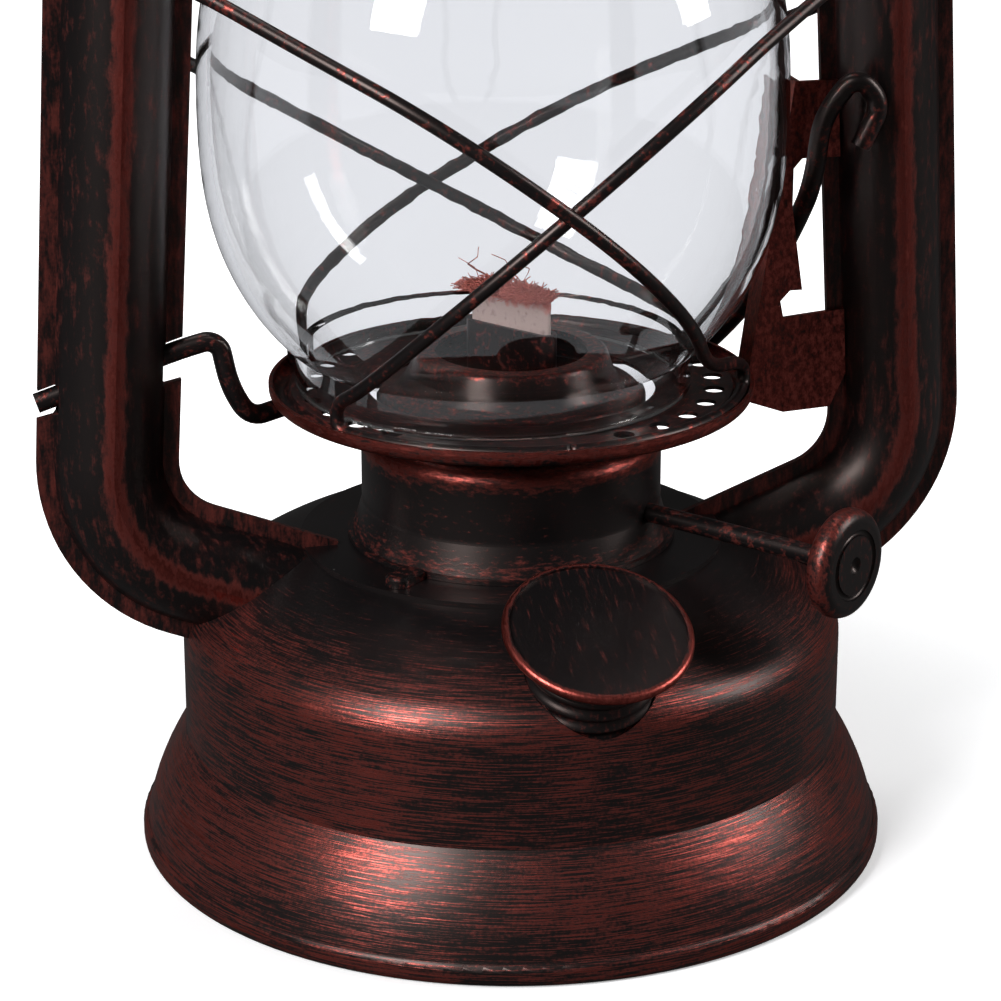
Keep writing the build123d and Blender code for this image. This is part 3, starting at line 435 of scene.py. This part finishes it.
cap_finish = brushed_copper(
    "cap_copper",
    0.05,
    [("radius", CAP_RIM, 0.0012, 0.57)],
    turned=False,
    turn=on_axis("filler_turn"),
    grain=(1500.0, 240.0, 1200.0),
    softness=0.42,
)
knob_finish = brushed_copper(
    "knob_copper",
    0.20,
    [("radius", KNOB_RIM, 0.0010, 0.22), ("radius", KNOB_HUB, 0.0008, 0.08)],
    turned=False,
    turn=on_axis("wick_turn"),
    grain=(1900.0, 700.0, 1200.0),
    softness=0.28,
)

glass_finish, glass_shader = plain_material("clear_glass", (1.0, 1.0, 1.0), 0.0)
glass_shader.inputs["Transmission Weight"].default_value = 1.0
glass_shader.inputs["IOR"].default_value = 1.46

seal_finish, _ = plain_material("seal_rubber", RUBBER, 0.7)

FINISHES = {
    "fuel_tank": tank_finish,
    "tank_bottom": tank_finish,
    "filler_gasket": seal_finish,
    "filler_cap": cap_finish,
    "burner_base_plate": dome_finish,
    "burner_collar": collar_finish,
    "burner_catch": small_finish,
    "burner_dome": dome_finish,
    "wick_tube": small_finish,
    "wick_shaft": wire_finish,
    "wick_wheels": small_finish,
    "wick_knob": knob_finish,
    "globe_plate": plate_finish,
    "globe": glass_finish,
    "guard_wire": wire_finish,
    "lift_lever": wire_finish,
    "lever_bracket": bracket_finish,
    "left_tube_front": tube_finish,
    "left_tube_back": tube_finish,
    "right_tube_front": tube_finish,
    "right_tube_back": tube_finish,
    "crown": upper_finish,
    "globe_cap": upper_finish,
    "hood": upper_finish,
    "lift_loop": wire_finish,
    "bail": wire_finish,
    "left_bail_ear": small_finish,
    "right_bail_ear": small_finish,
}
for node, finish in FINISHES.items():
    mesh = frame["nodes"][node].data
    mesh.materials.clear()
    mesh.materials.append(finish)


# Wick

WICK_TURN = math.radians(37.5 - 90.0)      # its width runs along the wick shaft
WICK_WIDTH, WICK_THICKNESS = 0.0160, 0.0019
WICK_SIDES, WICK_STEPS = 40, 24
WICK_POWER = 0.8                   # under 1 it draws the oval section towards a rectangle
FRAY_SEED = 7
FRAY_FOOT = top("wick").z + 0.0003
FRAY_COUNT, STRAY_COUNT = 2200, 5
FRAY_RADIUS, FRAY_SIDES, FRAY_STEPS = 0.00015, 4, 7
FRAY_WIDTH, FRAY_THICKNESS = WICK_WIDTH * 0.94, WICK_THICKNESS * 0.80
FRAY_LENGTH, STRAY_LENGTH = (0.0016, 0.0040), (0.006, 0.0105)
FRAY_LEAN, STRAY_LEAN = (-0.60, -0.55), (-0.4, -0.5)       # along the strip and across it
FRAY_SPREAD, STRAY_SPREAD = 0.40, 0.15
FRAY_FAN, FRAY_SPLAY = 1.4, (0.1, 0.8)     # added lean towards the strip's ends, and towards its faces
FRAY_SAG, FRAY_WAVES, FRAY_WAVE = (0.05, 0.40), (4, 9), 0.22
STAIN = (0.0932, 0.0950)           # heights where the red starts and is full, before its unevenness
STAIN_UNEVEN = 0.005


def mesh_piece(name, places, faces, material):
    """A smooth mesh object at the origin, from an array of places and the corners of each face."""
    mesh = bpy.data.meshes.new(name)
    mesh.from_pydata(np.reshape(places, (-1, 3)).tolist(), [], [list(face) for face in faces])
    mesh.polygons.foreach_set("use_smooth", np.ones(len(mesh.polygons), bool))
    mesh.materials.append(material)
    mesh.update()
    piece = bpy.data.objects.new(name, mesh)
    bpy.context.scene.collection.objects.link(piece)
    return piece


def strands(paths, radii):
    """Round threads along many paths at once: a ring across each step of each path, and a cap at both ends.

    paths is (threads, steps, 3) and radii is (threads, steps).
    """
    count, steps = radii.shape
    along = np.gradient(paths, axis=1)
    along /= np.linalg.norm(along, axis=2, keepdims=True)
    helper = np.where(np.abs(along[..., 2:3]) > 0.9, [1.0, 0.0, 0.0], [0.0, 0.0, 1.0])
    across = np.cross(along, helper)
    across /= np.linalg.norm(across, axis=2, keepdims=True)
    other = np.cross(along, across)
    angle = np.linspace(0, 2 * np.pi, FRAY_SIDES, endpoint=False)
    ring = across[:, :, None] * np.cos(angle)[:, None] + other[:, :, None] * np.sin(angle)[:, None]
    places = paths[:, :, None] + ring * radii[:, :, None, None]
    index = np.arange(count * steps * FRAY_SIDES).reshape(count, steps, FRAY_SIDES)
    here, beside = index[:, :-1], np.roll(index[:, :-1], -1, axis=2)
    above, above_beside = index[:, 1:], np.roll(index[:, 1:], -1, axis=2)
    walls = np.stack([here, beside, above_beside, above], axis=-1).reshape(-1, 4)
    ends = np.concatenate([index[:, 0, ::-1], index[:, -1]])
    return places.reshape(-1, 3), walls, ends


def across_wick(flat):
    """Places along the strip's width and across it, turned to the lamp's x and y."""
    cos, sin = math.cos(WICK_TURN), math.sin(WICK_TURN)
    return flat @ np.array([[cos, -sin], [sin, cos]]).T


def wick_strip():
    """Flat strip: an oval section, (w cos(a)^p, h sin(a)^p) with signs kept, carried up and capped."""
    around = np.linspace(0, 2 * np.pi, WICK_SIDES, endpoint=False)
    half = np.array([WICK_WIDTH / 2, WICK_THICKNESS / 2])
    flat = np.stack([np.cos(around) * half[0], np.sin(around) * half[1]], 1)
    flat = np.sign(flat) * np.abs(flat) ** WICK_POWER * half ** (1 - WICK_POWER)
    level = np.linspace(foot("wick").z, FRAY_FOOT, WICK_STEPS)
    places = np.concatenate([
        np.broadcast_to(across_wick(flat)[None], (WICK_STEPS, WICK_SIDES, 2)),
        np.broadcast_to(level[:, None, None], (WICK_STEPS, WICK_SIDES, 1)),
    ], axis=2)
    index = np.arange(WICK_STEPS * WICK_SIDES).reshape(WICK_STEPS, WICK_SIDES)
    here, above = index[:-1], index[1:]
    walls = np.stack([here, np.roll(here, -1, 1), np.roll(above, -1, 1), above], -1).reshape(-1, 4)
    return places.reshape(-1, 3), walls.tolist(), [index[0, ::-1].tolist(), index[-1].tolist()]


def loose_threads():
    """Threads on the strip's top: start + length (direction t + sag t^2 + wave t), kept above the strip."""
    rng = np.random.default_rng(FRAY_SEED)
    start = np.stack([
        rng.uniform(-0.5, 0.5, FRAY_COUNT) * FRAY_WIDTH,
        rng.uniform(-0.5, 0.5, FRAY_COUNT) * FRAY_THICKNESS,
        np.full(FRAY_COUNT, FRAY_FOOT),
    ], 1)
    lean = rng.normal(0, FRAY_SPREAD, (FRAY_COUNT, 2)) + FRAY_LEAN + np.stack([
        start[:, 0] / WICK_WIDTH * FRAY_FAN,
        np.sign(start[:, 1]) * rng.uniform(*FRAY_SPLAY, FRAY_COUNT),
    ], 1)
    length = rng.uniform(*FRAY_LENGTH, FRAY_COUNT) * (1 - 0.35 * np.abs(start[:, 0]) / (WICK_WIDTH / 2))
    stray = np.arange(FRAY_COUNT) < STRAY_COUNT
    length[stray] = rng.uniform(*STRAY_LENGTH, STRAY_COUNT)
    lean[stray] = rng.normal(0, STRAY_SPREAD, (STRAY_COUNT, 2)) + np.array(STRAY_LEAN)
    away = np.concatenate([lean, np.ones((FRAY_COUNT, 1))], 1)
    away /= np.linalg.norm(away, axis=1, keepdims=True)
    sag = np.concatenate([lean * 0.25, -rng.uniform(*FRAY_SAG, (FRAY_COUNT, 1))], 1)
    sag[stray] *= 0.2
    t = np.linspace(0, 1, FRAY_STEPS)
    phase = rng.uniform(0, 2 * np.pi, (FRAY_COUNT, 2))
    wave = np.sin(t[None, :, None] * rng.uniform(*FRAY_WAVES, (FRAY_COUNT, 1, 1)) + phase[:, None, :])
    wave *= t[None, :, None] * FRAY_WAVE
    paths = start[:, None] + length[:, None, None] * (
        away[:, None] * t[None, :, None] + sag[:, None] * (t ** 2)[None, :, None]
        + np.concatenate([wave, np.zeros((FRAY_COUNT, FRAY_STEPS, 1))], 2)
    )
    paths[..., 2] = np.maximum(paths[..., 2], FRAY_FOOT + FRAY_RADIUS * 2 * t)
    paths[..., :2] = across_wick(paths[..., :2])
    radii = FRAY_RADIUS * rng.uniform(0.7, 1.5, (FRAY_COUNT, 1)) * (1 - 0.5 * t[None])
    return strands(paths, radii)


def frayed_wick(material):
    """Flat woven strip whose top opens into loose threads, as one mesh."""
    strip, sides, lids = wick_strip()
    threads, walls, ends = loose_threads()
    faces = sides + (walls + len(strip)).tolist() + (ends + len(strip)).tolist() + lids
    return mesh_piece("frayed_wick", np.concatenate([strip, threads]), faces, material)


def cotton_material():
    """Pale cotton whose loose ends are stained red, with darker red patches at random."""
    material, shader = plain_material("wick_cotton", COTTON, 0.9)
    nodes, link = material.node_tree.nodes, material.node_tree.links.new
    place = add(nodes, "ShaderNodeTexCoord").outputs["Object"]
    split = add(nodes, "ShaderNodeSeparateXYZ")
    stain = add(nodes, "ShaderNodeMapRange", interpolation_type="SMOOTHSTEP")
    stain.inputs["From Min"].default_value, stain.inputs["From Max"].default_value = STAIN
    blot = add(nodes, "ShaderNodeTexNoise", inputs={"Scale": 520.0, "Detail": 3.0})
    uneven = add(nodes, "ShaderNodeMath", operation="MULTIPLY_ADD")
    uneven.inputs[1].default_value = STAIN_UNEVEN
    # darker red patches at random over the cotton
    dark_patch = add(nodes, "ShaderNodeTexNoise", inputs={"Scale": 900.0, "Detail": 3.0})
    keep = add(nodes, "ShaderNodeMapRange", inputs={"From Min": 0.54, "From Max": 0.95})
    link(place, split.inputs[0])
    link(place, blot.inputs["Vector"])
    link(place, dark_patch.inputs["Vector"])
    link(blot.outputs["Fac"], uneven.inputs[0])
    link(split.outputs["Z"], uneven.inputs[2])
    link(uneven.outputs[0], stain.inputs["Value"])
    link(dark_patch.outputs["Fac"], keep.inputs["Value"])
    stained = mixed(nodes, link, stain.outputs[0], COTTON, COTTON_RED)
    link(mixed(nodes, link, keep.outputs[0], stained, COTTON_DARK), shader.inputs["Base Color"])
    return material


wick = frayed_wick(cotton_material())
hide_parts("wick")
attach(wick, "wick")


# Guard wire

GLOBE_MIDDLE = np.array((top("globe") + foot("globe")) / 2)
GLOBE_RINGS, RING_REACH = 60, 0.0022       # heights at which its outline is read, and how far a vertex counts
WIRE_RADIUS = 0.0011
GUARD_STEPS, GUARD_SIDES = 7, 14
GUTTER_STEPS = 14
DECK = top("globe_plate").z - 0.0007
GUTTER_RADIUS = 0.0373
GUARD_ENDS = np.radians([-53.5, 66.0])
GUARD_BUTT = 0.004                 # half the turn between the wire's two ends, in radians
GUARD_STUB, GUARD_RISE = 0.0040, 0.0045
GUARD_GAP = 0.0017
LOOP_RISE, LOOP_TILT, LOOP_DROP = 0.0744, 0.0030, 0.0150
LOOP_INSET, LOOP_DEPTH, LOOP_ROUND = 0.0177, 0.01156, 0.0020
# Turn in degrees, height over the deck in millimetres and share of the step over the other leg
FRONT_LEG = np.array([
    [46, 7.9, 0.0], [27, 19.4, 0.5], [9, 32.9, 1.0], [-9, 45.4, 1.0], [-27, 55.2, 0.5], [-46, 61.4, 0.0]])
BACK_LEG = np.array([
    [46, 8.4, 0.0], [27, 12.2, 0.5], [9, 18.2, 1.0], [-9, 26.0, 1.0], [-27, 34.8, 0.5], [-46, 43.0, 0.0]])


def bent_line(corners, steps):
    """Quadratic B-spline of a route: each corner bends from the middle of one run to the middle of the next.

    point = a (1 - t)^2 + 2 corner t (1 - t) + b t^2
    """
    middles = (corners[1:] + corners[:-1]) / 2
    middles[0], middles[-1] = corners[0], corners[-1]
    t = np.linspace(0, 1, steps, endpoint=False)[:, None]
    before, corner, after = middles[:-1, None], corners[1:-1, None], middles[1:, None]
    line = before * (1 - t) ** 2 + 2 * corner * t * (1 - t) + after * t ** 2
    return np.concatenate([line.reshape(-1, 3), corners[-1:]])


def rim_point(turn, radius, height):
    """Points round the axis, turned from the front towards +X."""
    return np.stack(np.broadcast_arrays(radius * np.sin(turn), -radius * np.cos(turn), height), -1)


def globe_wall(height):
    """Outer radius of the globe at each height, from the rings of its own mesh."""
    points = np.array([vertex.co for vertex in frame["nodes"]["globe"].data.vertices])
    away = np.hypot(*(points[:, :2] - GLOBE_MIDDLE[:2]).T)
    levels = np.linspace(points[:, 2].min(), points[:, 2].max(), GLOBE_RINGS)
    near = np.abs(points[:, 2:] - levels) < RING_REACH
    outline = np.where(near, away[:, None], 0.0).max(axis=0)
    return np.interp(height, levels[outline > 0], outline[outline > 0])


def guard_leg(end, side, depth, leg, over):
    """Corners of one leg, from the gutter at end, across the globe and up towards a tube."""
    start = rim_point(end, GUTTER_RADIUS, DECK) * (1, -depth, 1)
    along = np.array([side * abs(start[1]), -depth * abs(start[0]), 0.0])
    stub = start + along / np.linalg.norm(along) * GUARD_STUB
    height = DECK + leg[:, 1] / 1000
    radius = globe_wall(height) + WIRE_RADIUS + GUARD_GAP + over * leg[:, 2]
    across = rim_point(np.radians(side * leg[:, 0]), radius, height) * (1, -depth, 1)
    across[:, :2] += GLOBE_MIDDLE[:2]
    return np.concatenate([[start, stub, stub + (0, 0, GUARD_RISE)], across])


def guard_loop(side):
    """Corners round the outside of a tube, from its front down to its back."""
    outside = top("guard_wire").x - WIRE_RADIUS
    height = DECK + LOOP_RISE
    return np.array([
        [side * (outside - LOOP_INSET), -LOOP_DEPTH - LOOP_ROUND, height - LOOP_TILT],
        [side * outside, -LOOP_DEPTH + LOOP_ROUND, height],
        [side * outside, LOOP_DEPTH - LOOP_ROUND, height - LOOP_DROP / 2],
        [side * (outside - LOOP_INSET), LOOP_DEPTH + LOOP_ROUND, height - LOOP_TILT - LOOP_DROP],
    ])


def gutter_arc(first, last):
    """Corners along the plate's gutter from one turn to another."""
    return rim_point(np.linspace(first, last, GUTTER_STEPS), GUTTER_RADIUS, DECK)


def guard_route():
    """The wire's corners from the butt in front of the gutter, over both tubes and back to it."""
    left, right = GUARD_ENDS
    over = 2 * WIRE_RADIUS
    return np.concatenate([
        gutter_arc(GUARD_BUTT, right)[:-1],
        guard_leg(right, 1, -1, FRONT_LEG, over),
        guard_loop(-1),
        guard_leg(right, 1, 1, BACK_LEG, 0.0)[::-1],
        gutter_arc(np.pi - right, np.pi - left)[1:-1],
        guard_leg(left, -1, 1, BACK_LEG, over),
        guard_loop(1)[::-1],
        guard_leg(left, -1, -1, FRONT_LEG, 0.0)[::-1],
        gutter_arc(left, -GUARD_BUTT)[1:],
    ])


def swept_wire(name, line, radius, sides, material):
    """Round wire along a line. Each ring's first direction is the last one's, kept square to the line."""
    along = np.gradient(line, axis=0)
    along /= np.linalg.norm(along, axis=1, keepdims=True)
    across = np.empty_like(along)
    across[0] = np.cross(along[0], (0.0, 0.0, 1.0))
    for step in range(1, len(line)):
        across[step] = across[step - 1] - along[step] * (across[step - 1] @ along[step])
        across[step] /= np.linalg.norm(across[step])
    other = np.cross(along, across)
    angle = np.linspace(0, 2 * np.pi, sides, endpoint=False)
    ring = across[:, None] * np.cos(angle)[:, None] + other[:, None] * np.sin(angle)[:, None]
    index = np.arange(len(line) * sides).reshape(len(line), sides)
    here, above = index[:-1], index[1:]
    walls = np.stack([here, np.roll(here, -1, 1), np.roll(above, -1, 1), above], -1).reshape(-1, 4)
    faces = walls.tolist() + [index[0, ::-1].tolist(), index[-1].tolist()]
    return mesh_piece(name, line[:, None] + ring * radius, faces, material)


guard = swept_wire("bent_guard", bent_line(guard_route(), GUARD_STEPS), WIRE_RADIUS, GUARD_SIDES, wire_finish)
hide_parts("guard_wire")
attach(guard, "globe_carriage")


# Filler neck

NECK_RADIUS, NECK_WALL = 0.0105, 0.0010
NECK_FOOT, NECK_TOP = -0.0080, 0.0056      # along the filler's axis
NECK_RINGS, NECK_SIDES = 90, 72
THREAD_PITCH, THREAD_DEPTH = 0.0026, 0.0007


def threaded_neck():
    """Thin tube with a rolled thread, about the filler's axis.

    The outer radius is R - d (1 + cos(2 pi s / pitch - a)) / 2 at a height s and a turn a, so its valleys
    climb by one pitch a turn. The inner radius is plain.
    """
    heights = np.linspace(NECK_FOOT, NECK_TOP, NECK_RINGS)
    turns = np.linspace(0, 2 * np.pi, NECK_SIDES, endpoint=False)
    s, a = np.meshgrid(heights, turns, indexing="ij")
    outer = NECK_RADIUS - THREAD_DEPTH * (1 + np.cos(2 * np.pi * s / THREAD_PITCH - a)) / 2
    inner = np.full_like(s, NECK_RADIUS - THREAD_DEPTH - NECK_WALL)
    s, a = np.concatenate([s, s[::-1]]), np.concatenate([a, a])
    radius = np.concatenate([outer, inner])
    axis = np.array(joints["filler_turn"]["axis"])
    across = np.cross(axis, (0.0, 1.0, 0.0))
    across /= np.linalg.norm(across)
    other = np.cross(axis, across)
    places = np.array(joints["filler_turn"]["pos_m"]) + axis * s[..., None]
    places = places + radius[..., None] * (across * np.cos(a)[..., None] + other * np.sin(a)[..., None])
    index = np.arange(s.size).reshape(s.shape)
    above = np.roll(index, -1, 0)
    return places, np.stack([index, np.roll(index, -1, 1), np.roll(above, -1, 1), above], -1).reshape(-1, 4)


neck = mesh_piece("threaded_neck", *threaded_neck(), cap_finish)
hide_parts("filler_neck")
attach(neck, "frame")


# Floor, light and camera

def lit_floor():
    """White to the camera with the lamp's shadow, pale blue-grey through glass, and dark in reflections."""
    material, shader = plain_material("floor_white", FLOOR, 0.9)
    nodes, link = material.node_tree.nodes, material.node_tree.links.new
    path = add(nodes, "ShaderNodeLightPath")
    seen, through = path.outputs["Is Camera Ray"], path.outputs["Is Transmission Ray"]
    link(mixed(nodes, link, seen, FLOOR_REFLECTED, FLOOR), shader.inputs["Base Color"])
    link(mixed(nodes, link, through, WHITE, SEEN_THROUGH_GLASS), shader.inputs["Emission Color"])
    away = add(nodes, "ShaderNodeVectorMath", operation="LENGTH")
    link(add(nodes, "ShaderNodeTexCoord").outputs["Object"], away.inputs[0])
    glow = add(nodes, "ShaderNodeMapRange", interpolation_type="SMOOTHSTEP")
    glow.inputs["From Min"].default_value, glow.inputs["From Max"].default_value = GLOW_REACH
    glow.inputs["To Min"].default_value, glow.inputs["To Max"].default_value = FLOOR_GLOW
    link(away.outputs["Value"], glow.inputs["Value"])
    lift = add(nodes, "ShaderNodeMath", operation="MULTIPLY_ADD")
    link(glow.outputs[0], lift.inputs[1])
    link(seen, lift.inputs[0])
    link(through, lift.inputs[2])
    link(lift.outputs[0], shader.inputs["Emission Strength"])
    return material


def area_light(name, power, place, size):
    """A soft rectangular studio light aimed at the tank."""
    data = bpy.data.lights.new(name, "AREA")
    data.shape = "RECTANGLE"
    data.energy = power
    data.size, data.size_y = size
    light = bpy.data.objects.new(name, data)
    bpy.context.scene.collection.objects.link(light)
    away = np.array(place) - np.array(LIGHT_AIM)
    flat = math.hypot(away[0], away[1])
    light.location = place
    light.rotation_euler = (math.atan2(flat, away[2]), 0.0, math.atan2(away[0], -away[1]))
    return light


FLOOR_HALF = 3.0
corners = np.array([[-1, -1, 0], [1, -1, 0], [1, 1, 0], [-1, 1, 0]]) * FLOOR_HALF
floor = mesh_piece("floor", corners.astype(float), np.array([[0, 1, 2, 3]]), lit_floor())

area_light("key_light", KEY_POWER, KEY_PLACE, KEY_SIZE)
area_light("fill_light", FILL_POWER, FILL_PLACE, FILL_SIZE)
area_light("top_light", TOP_POWER, TOP_PLACE, TOP_SIZE)

scene = bpy.context.scene
scene.view_settings.view_transform = "Standard"


def white_world():
    """World that is white to the camera and a faint light on everything else."""
    world = bpy.data.worlds.new("studio")
    world.use_nodes = True
    nodes, link = world.node_tree.nodes, world.node_tree.links.new
    backdrop = nodes["Background"]
    backdrop.inputs["Color"].default_value = (*WHITE, 1)
    path = add(nodes, "ShaderNodeLightPath")
    strength = add(nodes, "ShaderNodeMapRange", inputs={"To Min": WORLD_LIGHT, "To Max": 1.0})
    link(path.outputs["Is Camera Ray"], strength.inputs["Value"])
    link(strength.outputs[0], backdrop.inputs["Strength"])
    return world


def photo_camera():
    """Camera at the photograph's view."""
    view = bpy.data.cameras.new("photo_view")
    view.lens = VIEW_LENS
    view.sensor_width = VIEW_SENSOR
    camera = bpy.data.objects.new("photo_view", view)
    scene.collection.objects.link(camera)
    camera.location = VIEW_PLACE
    camera.rotation_euler = (math.radians(90.0 - VIEW_DROP), 0.0, math.radians(VIEW_TURN))
    return camera


scene.world = white_world()
scene.camera = photo_camera()
